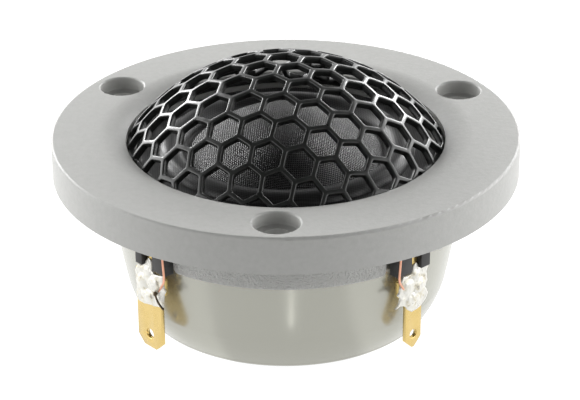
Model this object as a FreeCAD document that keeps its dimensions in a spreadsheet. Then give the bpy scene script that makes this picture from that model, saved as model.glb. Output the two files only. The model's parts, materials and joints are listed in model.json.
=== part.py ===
import FreeCAD
import Part
import math
import os
import Sketcher

# Car tweeter with a hexagonal mesh grille, a cast faceplate and a sealed rear chamber.
# Frame: the origin is the centre of the flange's rear seating face, +Z is the way the sound goes
# and -Y points at the screw hole between the two terminals. Lengths are millimetres.

Vector = FreeCAD.Vector
os.makedirs("parts", exist_ok=True)
doc = FreeCAD.newDocument("tweeter")
dims = doc.addObject("Spreadsheet::Sheet", "dims")

DRIVING = [
    # faceplate casting
    ("flange_radius", 31.0),
    ("flange_thickness", 5.0),
    ("flange_edge_round", 0.35),
    ("flange_flat_inner_radius", 24.6),
    ("dish_round", 7.1),
    ("opening_radius", 21.15),
    ("grille_seat_height", 2.9),
    ("ledge_inner_radius", 19.9),
    ("ring_seat_height", 2.0),
    ("ring_pocket_radius", 22.6),
    ("cup_stop_depth", 0.5),
    ("skirt_inner_radius", 23.45),
    ("skirt_outer_radius", 24.2),
    ("skirt_depth", 6.0),
    ("skirt_edge_round", 0.3),
    ("screw_circle_radius", 26.8),
    ("screw_hole_radius", 1.7),
    ("counterbore_radius", 3.0),
    ("counterbore_depth", 1.75),
    ("counterbore_lip_round", 0.25),
    ("counterbore_floor_round", 0.2),
    # notches that let the terminals through the skirt
    ("notch_half_width", 4.7),
    ("notch_corner_round", 1.0),
    ("notch_inner_reach", 22.1),
    ("rim_gap_inner_reach", 21.1),
    ("notch_relief", 0.3),
    # grille
    ("grille_sphere_radius", 26.0),
    ("grille_sphere_drop", 11.6),
    ("grille_thickness", 0.9),
    ("grille_pitch", 4.47),
    ("grille_bar_width", 0.66),
    ("grille_turn_deg", 49.1),
    ("grille_shift_side", -0.3),
    ("grille_shift_back", 2.4),
    ("grille_bend_start_radius", 20.25),
    ("grille_bend_round", 1.5),
    ("grille_rim_width", 0.5),
    # diaphragm
    ("dome_base_radius", 13.0),
    ("dome_base_height", 1.9),
    ("dome_sphere_radius", 17.9),
    ("cloth_thickness", 0.3),
    ("surround_lip_radius", 13.4),
    ("surround_roll_radius", 1.95),
    ("surround_flat_radius", 17.2),
    ("surround_outer_radius", 19.75),
    # voice coil
    ("former_inner_radius", 12.65),
    ("former_wall", 0.15),
    ("former_bottom", -4.8),
    ("winding_wall", 0.35),
    ("winding_bottom", -4.4),
    ("winding_top", -1.4),
    # diaphragm ring and its terminal blocks
    ("ring_outer_radius", 22.4),
    ("ring_inner_radius", 17.9),
    ("ring_wall_inner_radius", 20.9),
    ("ring_plate_thickness", 1.2),
    ("lug_top_depth", 0.1),
    ("lug_thickness", 1.25),
    ("lug_inner_reach", 21.6),
    ("lug_clearance", 0.1),
    ("block_back", 23.45),
    ("block_face", 24.95),
    ("block_bottom", -6.25),
    # places across a terminal, looking at it from outside: the front screw hole is to the right of
    # the wide terminal and to the left of the narrow one
    ("wide_block_low", -1.45),
    ("wide_slot_low", -0.2),
    ("wide_slot_high", 1.9),
    ("wide_block_high", 4.35),
    ("wide_neck_middle", 0.4),
    ("wide_wire_side", 4.2),
    ("narrow_block_low", -3.7),
    ("narrow_slot_low", -1.25),
    ("narrow_slot_high", 0.45),
    ("narrow_block_high", 2.0),
    ("narrow_neck_middle", -0.1),
    ("narrow_wire_side", -3.45),
    # blade terminals
    ("blade_back", 23.6),
    ("blade_thickness", 0.6),
    ("blade_shoulder_height", -7.5),
    ("blade_neck_top", -0.2),
    ("blade_corner", 1.2),
    ("wide_blade_width", 4.8),
    ("wide_blade_tip", -18.6),
    ("wide_blade_hole_radius", 0.7),
    ("narrow_blade_width", 2.8),
    ("narrow_blade_tip", -18.0),
    ("narrow_blade_hole_radius", 0.6),
    ("blade_hole_above_tip", 2.0),
    ("neck_width", 1.0),
    ("wide_head_reach", 3.3),
    ("narrow_head_reach", 2.9),
    ("head_depth", 2.2),
    # motor
    ("top_plate_radius", 22.3),
    ("top_plate_bore_radius", 13.55),
    ("top_plate_top", -1.4),
    ("top_plate_thickness", 3.0),
    ("magnet_inner_radius", 14.6),
    ("magnet_outer_radius", 19.6),
    ("magnet_height", 4.0),
    ("magnet_count", 6.0),
    ("magnet_gap_deg", 8.0),
    ("yoke_radius", 19.8),
    ("yoke_plate_thickness", 3.0),
    ("pole_radius", 12.05),
    ("vent_radius", 5.5),
    ("cap_wall", 0.2),
    ("cap_depth", 4.2),
    ("pad_radius", 10.8),
    ("pad_hole_radius", 4.2),
    ("pad_height", 1.8),
    # rear chamber
    ("cup_top_radius", 23.35),
    ("cup_straight_end", -4.5),
    ("cup_waist_radius", 21.6),
    ("cup_waist_height", -15.3),
    ("cup_heel_radius", 19.9),
    ("cup_heel_height", -19.2),
    ("cup_foot_radius", 18.9),
    ("cup_bottom", -20.0),
    ("cup_side_round", 130.0),
    ("cup_heel_round", 14.0),
    ("cup_foot_round", 1.1),
    ("cup_wall", 0.8),
    ("cup_inner_heel_height", -18.64),
    ("foam_radius", 17.9),
    ("foam_top", -12.2),
    # lead-out wires and solder
    ("wire_radius", 0.15),
    ("wire_channel_height", -0.85),
    ("wire_channel_width", 0.7),
    ("wire_coil_end_height", -0.45),
    ("wire_stand_off", 0.2),
    ("solder_stand_out", 0.75),
    ("solder_top", -6.5),
    ("solder_bottom", -12.7),
    ("wide_solder_middle", 0.8),
    ("wide_solder_half_width", 2.9),
    ("narrow_solder_middle", -0.6),
    ("narrow_solder_half_width", 2.6),
]
for row, (alias, value) in enumerate(DRIVING, start=1):
    dims.set("A%d" % row, alias)
    dims.set("B%d" % row, repr(value))
    dims.setAlias("B%d" % row, alias)
doc.recompute()


def size(name):
    """A driving dimension as a number."""
    return float(getattr(dims, name))


def value_of(expression):
    """The number that an expression over the sheet works out to."""
    result = dims.evalExpression(expression)
    return float(getattr(result, "Value", result))


def sheet_terms(expression):
    """Write bare aliases as references to the sheet."""
    words = []
    for word in expression.replace("(", "( ").replace(")", " )").split():
        words.append("dims." + word if word in ALIASES else word)
    return " ".join(words)


ALIASES = {alias for alias, value in DRIVING}


def new_body(name):
    body = doc.addObject("PartDesign::Body", name)
    body.Label = name
    return body


def origin_plane(body, role):
    return [feature for feature in body.Origin.OriginFeatures if feature.Role == role][0]


def new_sketch(body, name, role, offset=None):
    sketch = body.newObject("Sketcher::SketchObject", name)
    sketch.AttachmentSupport = [(origin_plane(body, role), "")]
    sketch.MapMode = "FlatFace"
    if offset is not None:
        sketch.AttachmentOffset = offset
    return sketch


def bind(sketch, kind, references, expression):
    """Add a dimension to a sketch and tie its value to the sheet."""
    text = sheet_terms(expression)
    index = sketch.addConstraint(Sketcher.Constraint(kind, *references, value_of(text)))
    sketch.setExpression("Constraints[%d]" % index, text)


def add_outline(sketch, corners):
    """Draw a closed outline. A corner is (x, y) or, for an arc that arrives at it,
    (x, y, radius, turn), where turn is +1 when the arc turns left on the way there."""
    spots = [Vector(value_of(sheet_terms(c[0])), value_of(sheet_terms(c[1])), 0) for c in corners]
    ends = []
    for number, corner in enumerate(corners):
        start, stop = spots[number - 1], spots[number]
        if len(corner) == 2:
            geo = sketch.addGeometry(Part.LineSegment(start, stop), False)
            ends.append((geo, 1, 2))
            continue
        radius, turn = value_of(sheet_terms(corner[2])), corner[3]
        chord = stop - start
        normal = Vector(-chord.y, chord.x, 0) * (turn / chord.Length)
        centre = start + chord * 0.5 + normal * math.sqrt(radius ** 2 - (chord.Length / 2) ** 2)
        first, last = (start, stop) if turn > 0 else (stop, start)
        angles = [math.atan2(p.y - centre.y, p.x - centre.x) for p in (first, last)]
        circle = Part.Circle(centre, Vector(0, 0, 1), radius)
        geo = sketch.addGeometry(Part.ArcOfCircle(circle, angles[0], angles[1]), False)
        ends.append((geo, 1, 2) if turn > 0 else (geo, 2, 1))
    for number, (geo, start, stop) in enumerate(ends):
        following = ends[(number + 1) % len(ends)]
        sketch.addConstraint(Sketcher.Constraint("Coincident", geo, stop, following[0], following[1]))
        bind(sketch, "DistanceX", (geo, stop), corners[number][0])
        bind(sketch, "DistanceY", (geo, stop), corners[number][1])
        if len(corners[number]) > 2:
            bind(sketch, "Radius", (geo,), corners[number][2])


def add_rectangle(sketch, left, right, floor, top):
    add_outline(sketch, [(left, floor), (right, floor), (right, top), (left, top)])


def add_circle(sketch, x, y, radius):
    centre = Vector(value_of(sheet_terms(x)), value_of(sheet_terms(y)), 0)
    circle = Part.Circle(centre, Vector(0, 0, 1), value_of(sheet_terms(radius)))
    geo = sketch.addGeometry(circle, False)
    bind(sketch, "DistanceX", (geo, 3), x)
    bind(sketch, "DistanceY", (geo, 3), y)
    bind(sketch, "Radius", (geo,), radius)


def revolved(name, corners):
    """A body turned about Z from an outline of (radius, height) corners."""
    body = new_body(name)
    sketch = new_sketch(body, name + "_profile", "XZ_Plane")
    add_outline(sketch, corners)
    turn = body.newObject("PartDesign::Revolution", name + "_turn")
    turn.Profile = sketch
    turn.ReferenceAxis = (sketch, ["V_Axis"])
    turn.Angle = 360.0
    sketch.Visibility = False
    doc.recompute()
    return body


def tube(name, inner, outer, bottom, top):
    """A plain ring, turned about Z."""
    return revolved(name, [(inner, bottom), (outer, bottom), (outer, top), (inner, top)])


def facing(azimuth_deg, reach="0"):
    """Sketch offset on the XZ plane that turns it to face an azimuth, moved out by reach."""
    turned = FreeCAD.Rotation(Vector(0, 1, 0), azimuth_deg + 90.0)
    return FreeCAD.Placement(turned.multVec(Vector(0, 0, value_of(sheet_terms(reach)))), turned)


def pad(body, sketch, name, length, kind="PartDesign::Pad", reverse=False):
    feature = body.newObject(kind, name)
    feature.Profile = sketch
    feature.Length = value_of(sheet_terms(length))
    feature.setExpression("Length", sheet_terms(length))
    feature.Reversed = reverse
    sketch.Visibility = False
    doc.recompute()
    return feature


def pattern(body, feature, name, count, angle):
    """Repeat a feature about Z."""
    turns = body.newObject("PartDesign::PolarPattern", name)
    turns.Originals = [feature]
    turns.Axis = (origin_plane(body, "Z_Axis"), [""])
    turns.Angle = angle
    turns.Occurrences = count
    body.Tip = turns
    doc.recompute()
    return turns


# Azimuths of the two terminals, either side of the front screw hole.
WIDE_AZIMUTH = -135.0
NARROW_AZIMUTH = -45.0
TERMINAL_SPREAD = NARROW_AZIMUTH - WIDE_AZIMUTH
FRONT_AZIMUTH = -90.0
SCREW_COUNT = 3


def build_faceplate():
    """Flange, dished opening, grille ledge, ring pocket and skirt in one casting."""
    body = revolved("faceplate", [
        ("flange_radius", "0"),
        ("flange_radius", "flange_thickness - flange_edge_round"),
        ("flange_radius - flange_edge_round", "flange_thickness", "flange_edge_round", 1),
        ("flange_flat_inner_radius", "flange_thickness"),
        ("opening_radius",
         "flange_thickness - dish_round + sqrt( dish_round ^ 2 - "
         "( flange_flat_inner_radius - opening_radius ) ^ 2 )", "dish_round", 1),
        ("opening_radius", "grille_seat_height"),
        ("ledge_inner_radius", "grille_seat_height"),
        ("ledge_inner_radius", "ring_seat_height"),
        ("ring_pocket_radius", "ring_seat_height"),
        ("ring_pocket_radius", "0 - cup_stop_depth"),
        ("skirt_inner_radius", "0 - cup_stop_depth"),
        ("skirt_inner_radius", "0 - skirt_depth"),
        ("skirt_outer_radius - skirt_edge_round", "0 - skirt_depth"),
        ("skirt_outer_radius", "skirt_edge_round - skirt_depth", "skirt_edge_round", 1),
        ("skirt_outer_radius", "0"),
    ])
    bore_sketch = new_sketch(body, "counterbore_profile", "YZ_Plane")
    middle, wall = "0 - screw_circle_radius", "counterbore_radius - screw_circle_radius"
    floor = "flange_thickness - counterbore_depth"
    add_outline(bore_sketch, [
        (middle, floor),
        (wall + " - counterbore_floor_round", floor),
        (wall, floor + " + counterbore_floor_round", "counterbore_floor_round", 1),
        (wall, "flange_thickness - counterbore_lip_round"),
        (wall + " + counterbore_lip_round", "flange_thickness", "counterbore_lip_round", -1),
        (wall + " + counterbore_lip_round", "flange_thickness + 1"),
        (middle, "flange_thickness + 1"),
    ])
    axis_foot = Vector(-size("screw_circle_radius"), 0, 0)
    axis_line = bore_sketch.addGeometry(Part.LineSegment(axis_foot, axis_foot + Vector(0, 1, 0)), True)
    bore_sketch.addConstraint(Sketcher.Constraint("Vertical", axis_line))
    bind(bore_sketch, "DistanceX", (axis_line, 1), middle)
    bore = body.newObject("PartDesign::Groove", "counterbore")
    bore.Profile = bore_sketch
    bore.ReferenceAxis = (bore_sketch, ["Axis0"])
    bore.Angle = 360.0
    bore_sketch.Visibility = False
    doc.recompute()
    pattern(body, bore, "counterbores", SCREW_COUNT, 360.0)
    top = FreeCAD.Placement(Vector(0, 0, size("flange_thickness")), FreeCAD.Rotation())
    hole_sketch = new_sketch(body, "screw_hole_circle", "XY_Plane", top)
    add_circle(hole_sketch, "0", "0 - screw_circle_radius", "screw_hole_radius")
    hole = pad(body, hole_sketch, "screw_hole", "flange_thickness * 2", "PartDesign::Pocket")
    pattern(body, hole, "screw_holes", SCREW_COUNT, 360.0)
    notch_sketch = new_sketch(body, "notch_outline", "XZ_Plane", facing(WIDE_AZIMUTH, "notch_inner_reach"))
    side, corner = "notch_half_width", "notch_corner_round"
    add_outline(notch_sketch, [
        ("0 - " + side, "notch_relief"),
        ("0 - " + side, corner + " - skirt_depth"),
        ("0 - %s - %s" % (side, corner), "0 - skirt_depth", corner, -1),
        ("0 - %s - %s" % (side, corner), "0 - skirt_depth - 1"),
        ("%s + %s" % (side, corner), "0 - skirt_depth - 1"),
        ("%s + %s" % (side, corner), "0 - skirt_depth"),
        (side, corner + " - skirt_depth", corner, -1),
        (side, "notch_relief"),
    ])
    notch = pad(body, notch_sketch, "notch", "notch_half_width", "PartDesign::Pocket", True)
    pattern(body, notch, "notches", 2, TERMINAL_SPREAD)
    return body


def build_cup():
    """Bowl-shaped rear chamber with a gap in its rim for each terminal lug."""
    rim, wall = "0 - cup_stop_depth", "cup_wall"
    body = revolved("rear_cup", [
        ("0", "cup_bottom"),
        ("cup_foot_radius", "cup_bottom"),
        ("cup_heel_radius", "cup_heel_height", "cup_foot_round", 1),
        ("cup_waist_radius", "cup_waist_height", "cup_heel_round", 1),
        ("cup_top_radius", "cup_straight_end", "cup_side_round", 1),
        ("cup_top_radius", rim),
        ("cup_top_radius - cup_wall", rim),
        ("cup_top_radius - cup_wall", "cup_straight_end"),
        ("cup_waist_radius - cup_wall", "cup_waist_height", "cup_side_round", -1),
        ("cup_heel_radius - cup_wall", "cup_inner_heel_height", "cup_heel_round - cup_wall", -1),
        ("cup_foot_radius - cup_wall", "cup_bottom + " + wall),
        ("0", "cup_bottom + " + wall),
    ])
    gap_place = facing(WIDE_AZIMUTH, "rim_gap_inner_reach")
    gap_sketch = new_sketch(body, "rim_gap_outline", "XZ_Plane", gap_place)
    floor = "0 - lug_top_depth - lug_thickness - lug_clearance"
    add_rectangle(gap_sketch, "0 - notch_half_width", "notch_half_width", floor, "0")
    gap = pad(body, gap_sketch, "rim_gap", "notch_half_width", "PartDesign::Pocket", True)
    pattern(body, gap, "rim_gaps", 2, TERMINAL_SPREAD)
    return body


def build_diaphragm_ring():
    """Plastic ring that carries the surround, with a lug and a pair of blocks per terminal."""
    body = revolved("diaphragm_ring", [
        ("ring_inner_radius", "ring_seat_height - ring_plate_thickness"),
        ("ring_wall_inner_radius", "ring_seat_height - ring_plate_thickness"),
        ("ring_wall_inner_radius", "top_plate_top"),
        ("ring_outer_radius", "top_plate_top"),
        ("ring_outer_radius", "ring_seat_height"),
        ("ring_inner_radius", "ring_seat_height"),
    ])
    lug_top = "0 - lug_top_depth"
    lug_floor = "0 - lug_top_depth - lug_thickness"
    for name, azimuth in (("wide", WIDE_AZIMUTH), ("narrow", NARROW_AZIMUTH)):
        low, high = name + "_block_low", name + "_block_high"
        slot_low, slot_high = name + "_slot_low", name + "_slot_high"
        lug_sketch = new_sketch(body, name + "_lug_outline", "XZ_Plane", facing(azimuth, "lug_inner_reach"))
        add_rectangle(lug_sketch, low, high, lug_floor, lug_top)
        pad(body, lug_sketch, name + "_lug", "block_face - lug_inner_reach")
        block_sketch = new_sketch(body, name + "_block_outline", "XZ_Plane", facing(azimuth, "block_back"))
        add_rectangle(block_sketch, low, slot_low, "block_bottom", lug_top)
        add_rectangle(block_sketch, slot_high, high, "block_bottom", lug_top)
        pad(body, block_sketch, name + "_blocks", "block_face - block_back")
        slot_sketch = new_sketch(body, name + "_slot_outline", "XZ_Plane", facing(azimuth, "blade_back"))
        add_rectangle(slot_sketch, slot_low, slot_high, "block_bottom", "0")
        pad(body, slot_sketch, name + "_slot", "block_face - block_back", "PartDesign::Pocket", True)
        channel_place = facing(azimuth, "ring_inner_radius")
        channel_sketch = new_sketch(body, name + "_channel_outline", "XZ_Plane", channel_place)
        side, half_width = name + "_wire_side", "wire_channel_width / 2"
        add_rectangle(channel_sketch, side + " - " + half_width, side + " + " + half_width,
                      "wire_channel_height - " + half_width, "0")
        pad(body, channel_sketch, name + "_channel", "block_face", "PartDesign::Pocket", True)
    return body


def build_terminal(name, azimuth, head_side):
    """Flat blade with chamfered corners and a detent hole. A head carries the solder and a
    narrow neck goes up into the ring. head_side is the side of the blade the head reaches to."""
    half, tip, shoulder = name + "_blade_width / 2", name + "_blade_tip", "blade_shoulder_height"
    body = new_body("terminal_" + name)
    sketch = new_sketch(body, name + "_blade_outline", "XZ_Plane", facing(azimuth, "blade_back"))
    head_foot = "blade_shoulder_height - head_depth"
    head, neck = name + "_head_reach", name + "_neck_middle"
    corners = [
        ("0 - " + half, tip + " + blade_corner"),
        ("blade_corner - " + half, tip),
        (half + " - blade_corner", tip),
        (half, tip + " + blade_corner"),
    ]
    top = [
        (neck + " + neck_width / 2", shoulder),
        (neck + " + neck_width / 2", "blade_neck_top"),
        (neck + " - neck_width / 2", "blade_neck_top"),
        (neck + " - neck_width / 2", shoulder),
    ]
    if head_side > 0:
        corners += [(half, head_foot), (head, head_foot), (head, shoulder)] + top
        corners += [("0 - " + half, shoulder)]
    else:
        corners += [(half, shoulder)] + top
        corners += [("0 - " + head, shoulder), ("0 - " + head, head_foot), ("0 - " + half, head_foot)]
    add_outline(sketch, corners)
    add_circle(sketch, "0", tip + " + blade_hole_above_tip", name + "_blade_hole_radius")
    pad(body, sketch, name + "_blade", "blade_thickness")
    return body


def build_solder(name, azimuth):
    """Solder joint: a flattened bead standing on the outer face of a blade."""
    middle, half_width = name + "_solder_middle", name + "_solder_half_width"
    height = "( dims.solder_top - dims.solder_bottom )"
    turned = FreeCAD.Rotation(Vector(0, 0, 1), azimuth - FRONT_AZIMUTH)
    face = value_of("dims.blade_back + dims.blade_thickness")
    bead = doc.addObject("Part::Ellipsoid", name + "_bead")
    bead.setExpression("Radius1", height + " / 2")
    bead.setExpression("Radius2", "dims." + half_width)
    bead.setExpression("Radius3", "dims.solder_stand_out")
    level = (size("solder_top") + size("solder_bottom")) / 2.0
    bead.Placement = FreeCAD.Placement(turned.multVec(Vector(size(middle), -face, level)), turned)
    outside = doc.addObject("Part::Box", name + "_bead_outside")
    outside.setExpression("Length", "dims.%s * 2" % half_width)
    outside.setExpression("Width", "dims.solder_stand_out")
    outside.setExpression("Height", height)
    corner = Vector(size(middle) - size(half_width), -face - size("solder_stand_out"), size("solder_bottom"))
    outside.Placement = FreeCAD.Placement(turned.multVec(corner), turned)
    joint = doc.addObject("Part::Common", "solder_" + name)
    joint.Base = bead
    joint.Tool = outside
    joint.Label = "solder_" + name
    doc.recompute()
    return joint


# How far a wire's axis stands off the block's face, past its own radius.
WIRE_CLEARANCE = 0.06
# Gap between the former's outside and the end of a wire, whose axis lies that far out.
COIL_GAP = 0.03
# The wire's bow between the joint and the block: outwards, then up from the joint.
BOW_OUT, BOW_RISE = 0.15, 1.2
# The wire's straight run on the block starts this far below its foot and has a point above it.
RUN_BELOW, RUN_ABOVE = 0.35, 1.6
# Where the run ends and the bend into the channel starts, both below the channel.
RUN_END, BEND_START = 1.4, 0.55
# The bend's end and the first point of the channel's straight run, both inside the run's axis.
BEND_DEPTH, CHANNEL_START = 0.2, 0.8
# How far past the ring's wall the wire is still straight.
PAST_WALL = 0.6


def build_wire(name, azimuth, joint_spot, coil_side):
    """Lead-out wire from its solder joint, up a block, through the lug and ring to the coil."""
    radius, side = size("wire_radius"), size(name + "_wire_side")
    outside = -size("block_face") - radius - WIRE_CLEARANCE
    off_blade = -size("blade_back") - size("blade_thickness") - size("wire_stand_off")
    foot, channel = size("block_bottom"), size("wire_channel_height")
    coil_reach = size("former_inner_radius") + size("former_wall") + COIL_GAP
    coil_end = Vector(coil_side, -math.sqrt(coil_reach ** 2 - coil_side ** 2), size("wire_coil_end_height"))
    ring_inside = Vector(side, -size("ring_wall_inner_radius") + PAST_WALL, channel)
    spots = [
        Vector(joint_spot[0], off_blade, joint_spot[1]),
        Vector((joint_spot[0] + side) / 2.0, off_blade - BOW_OUT, joint_spot[1] + BOW_RISE),
        Vector(side, outside, foot - RUN_BELOW),
        Vector(side, outside, foot + RUN_ABOVE),
        Vector(side, outside, channel - RUN_END),
        Vector(side, outside, channel - BEND_START),
        Vector(side, outside + BEND_DEPTH, channel),
        Vector(side, outside + CHANNEL_START, channel),
        ring_inside,
        (ring_inside + coil_end) * 0.5,
        coil_end,
    ]
    turned = FreeCAD.Rotation(Vector(0, 0, 1), azimuth - FRONT_AZIMUTH)
    spots = [turned.multVec(spot) for spot in spots]
    curve = Part.BSplineCurve()
    curve.interpolate(spots)
    path = Part.Wire(curve.toShape())
    tangent = curve.tangent(curve.FirstParameter)[0]
    section = Part.Wire(Part.makeCircle(radius, spots[0], tangent).Edges)
    feature = doc.addObject("Part::Feature", "lead_wire_" + name)
    feature.Shape = path.makePipeShell([section], True, False)
    feature.Label = "lead_wire_" + name
    return feature


# How far a hole's plug passes the sheet, and the smallest plug, in cubic millimetres, worth cutting.
PLUG_OVERSHOOT = 0.9
SMALLEST_HOLE = 1.5


def grille_blank():
    """Domed sheet that bends down into a short upright rim on the grille seat."""
    middle = "( grille_sphere_radius - grille_thickness / 2 )"
    sine = "( grille_bend_start_radius / %s )" % middle
    cosine = "sqrt( 1 - %s ^ 2 )" % sine
    inner = "( grille_sphere_radius - grille_thickness )"
    rim = "%s * ( %s - grille_bend_round ) + grille_bend_round" % (sine, middle)
    rim_top = "%s * ( %s - grille_bend_round ) - grille_sphere_drop" % (cosine, middle)
    half = "grille_thickness / 2"
    return revolved("grille_blank", [
        ("0", "grille_sphere_radius - grille_sphere_drop"),
        ("grille_sphere_radius * " + sine,
         "grille_sphere_radius * %s - grille_sphere_drop" % cosine, "grille_sphere_radius", -1),
        (rim + " + " + half, rim_top, "grille_bend_round + " + half, -1),
        (rim + " + " + half, "grille_seat_height"),
        (rim + " - " + half, "grille_seat_height"),
        (rim + " - " + half, rim_top),
        (inner + " * " + sine, "%s * %s - grille_sphere_drop" % (inner, cosine),
         "grille_bend_round - " + half, 1),
        ("0", inner + " - grille_sphere_drop", inner, 1),
    ])


def build_grille():
    """Domed sheet pierced by hexagons laid out by arc length from the middle of the dome."""
    outer = size("grille_sphere_radius")
    inner = outer - size("grille_thickness")
    middle = (outer + inner) / 2.0
    centre = Vector(0, 0, -size("grille_sphere_drop"))
    rim_top = size("grille_seat_height") + size("grille_rim_width")
    pitch = size("grille_pitch")
    corner_reach = (pitch - size("grille_bar_width")) / math.sqrt(3.0)
    turn = math.radians(size("grille_turn_deg"))
    rows = int(middle / pitch) + 3

    def on_sphere(x, y, radius):
        reach = math.hypot(x, y)
        angle = reach / middle
        level = radius * math.cos(angle)
        if reach < 1e-9:
            return centre + Vector(0, 0, level)
        scale = radius * math.sin(angle) / reach
        return centre + Vector(x * scale, y * scale, level)

    def pierce(x, y):
        """A hexagonal plug whose sides all point at the centre of the sphere."""
        angles = [turn + math.radians(30 + 60 * k) for k in range(6)]
        rings = []
        for radius in (inner - PLUG_OVERSHOOT, outer + PLUG_OVERSHOOT):
            rings.append([on_sphere(x + corner_reach * math.cos(a), y + corner_reach * math.sin(a), radius)
                          for a in angles])
        tops = [on_sphere(x, y, inner - PLUG_OVERSHOOT), on_sphere(x, y, outer + PLUG_OVERSHOOT)]
        faces = []
        for k in range(6):
            n = (k + 1) % 6
            quad = [rings[0][k], rings[0][n], rings[1][n], rings[1][k]]
            faces.append(Part.Face(Part.makePolygon(quad + quad[:1])))
            for ring, top in zip(rings, tops):
                faces.append(Part.Face(Part.makePolygon([ring[k], ring[n], top, ring[k]])))
        return Part.makeSolid(Part.makeShell(faces))

    limit = Part.makeBox(4 * outer, 4 * outer, 2 * outer, Vector(-2 * outer, -2 * outer, rim_top))
    last_angle = math.acos((rim_top - centre.z) / middle)
    plugs = []
    for i in range(-rows, rows + 1):
        for j in range(-rows, rows + 1):
            along = pitch * (i + j / 2.0)
            across = pitch * j * math.sqrt(3.0) / 2.0
            x = along * math.cos(turn) - across * math.sin(turn) + size("grille_shift_side")
            y = along * math.sin(turn) + across * math.cos(turn) + size("grille_shift_back")
            angle = math.hypot(x, y) / middle
            if angle - corner_reach / middle > last_angle:
                continue
            plug = pierce(x, y)
            if angle + corner_reach / middle > last_angle:
                plug = plug.common(limit)
            plugs.append(plug)
    holes = doc.addObject("Part::Feature", "grille_holes")
    holes.Shape = Part.makeCompound([plug for plug in plugs if plug.Volume > SMALLEST_HOLE])
    feature = doc.addObject("Part::Cut", "grille")
    feature.Base = grille_blank()
    feature.Tool = holes
    feature.Label = "grille"
    return feature


def build_magnet(number):
    """One of the ring's arc magnets."""
    count = int(size("magnet_count"))
    span = 360.0 / count - size("magnet_gap_deg")
    blank = doc.addObject("Part::Cylinder", "magnet_%d_blank" % number)
    core = doc.addObject("Part::Cylinder", "magnet_%d_core" % number)
    for item, radius in ((blank, "magnet_outer_radius"), (core, "magnet_inner_radius")):
        item.setExpression("Radius", "dims." + radius)
        item.setExpression("Height", "dims.magnet_height")
        turn = FreeCAD.Rotation(Vector(0, 0, 1), number * 360.0 / count - span / 2.0)
        floor = size("top_plate_top") - size("top_plate_thickness") - size("magnet_height")
        item.Placement = FreeCAD.Placement(Vector(0, 0, floor), turn)
    blank.setExpression("Angle", "360 / dims.magnet_count - dims.magnet_gap_deg")
    magnet = doc.addObject("Part::Cut", "magnet_%d" % number)
    magnet.Base = blank
    magnet.Tool = core
    magnet.Label = "magnet_%d" % number
    return magnet


def build_moving_parts():
    """Dome, rolled surround, coil former and winding."""
    cap_height = "dome_base_height - sqrt( dome_sphere_radius ^ 2 - dome_base_radius ^ 2 )"
    inner_radius = "dome_sphere_radius - cloth_thickness"
    inner_base = ("sqrt( ( dome_sphere_radius - cloth_thickness ) ^ 2 - "
                  "dome_sphere_radius ^ 2 + dome_base_radius ^ 2 )")
    revolved("dome", [
        ("dome_base_radius", "dome_base_height"),
        ("0", cap_height + " + dome_sphere_radius", "dome_sphere_radius", 1),
        ("0", cap_height + " + " + inner_radius),
        (inner_base, "dome_base_height", inner_radius, -1),
    ])
    flat, cloth = "ring_seat_height", "cloth_thickness"
    lip = "dome_base_height - cloth_thickness"
    revolved("surround", [
        ("former_inner_radius + former_wall", lip),
        ("surround_lip_radius", lip),
        ("surround_flat_radius", flat, "surround_roll_radius", -1),
        ("surround_outer_radius", flat),
        ("surround_outer_radius", flat + " + " + cloth),
        ("surround_flat_radius", flat + " + " + cloth),
        ("surround_lip_radius", lip + " + " + cloth, "surround_roll_radius + cloth_thickness / 4", 1),
        ("former_inner_radius + former_wall", lip + " + " + cloth),
    ])
    tube("coil_former", "former_inner_radius", "former_inner_radius + former_wall",
         "former_bottom", "dome_base_height")
    tube("coil_winding", "former_inner_radius + former_wall",
         "former_inner_radius + former_wall + winding_wall", "winding_bottom", "winding_top")


def build_motor():
    """Top plate, arc magnets, yoke, copper cap and damping pad."""
    plate_floor = "top_plate_top - top_plate_thickness"
    magnet_floor = plate_floor + " - magnet_height"
    tube("top_plate", "top_plate_bore_radius", "top_plate_radius", plate_floor, "top_plate_top")
    for number in range(1, int(size("magnet_count")) + 1):
        build_magnet(number)
    revolved("yoke", [
        ("vent_radius", magnet_floor + " - yoke_plate_thickness"),
        ("yoke_radius", magnet_floor + " - yoke_plate_thickness"),
        ("yoke_radius", magnet_floor),
        ("pole_radius", magnet_floor),
        ("pole_radius", "top_plate_top"),
        ("vent_radius", "top_plate_top"),
    ])
    revolved("copper_cap", [
        ("pole_radius", "top_plate_top - cap_depth"),
        ("pole_radius + cap_wall", "top_plate_top - cap_depth"),
        ("pole_radius + cap_wall", "top_plate_top + cap_wall"),
        ("vent_radius", "top_plate_top + cap_wall"),
        ("vent_radius", "top_plate_top"),
        ("pole_radius", "top_plate_top"),
    ])
    tube("pole_pad", "pad_hole_radius", "pad_radius", "top_plate_top + cap_wall",
         "top_plate_top + cap_wall + pad_height")
    revolved("chamber_foam", [
        ("0", "cup_bottom + cup_wall"),
        ("foam_radius", "cup_bottom + cup_wall"),
        ("foam_radius", "foam_top"),
        ("0", "foam_top"),
    ])


build_faceplate()
build_cup()
build_diaphragm_ring()
build_moving_parts()
build_motor()
build_terminal("wide", WIDE_AZIMUTH, 1)
build_terminal("narrow", NARROW_AZIMUTH, -1)
build_solder("wide", WIDE_AZIMUTH)
build_solder("narrow", NARROW_AZIMUTH)
build_wire("wide", WIDE_AZIMUTH, (2.4, -9.3), 1.8)
build_wire("narrow", NARROW_AZIMUTH, (-1.9, -9.0), -1.6)
build_grille()
doc.recompute()

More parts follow.
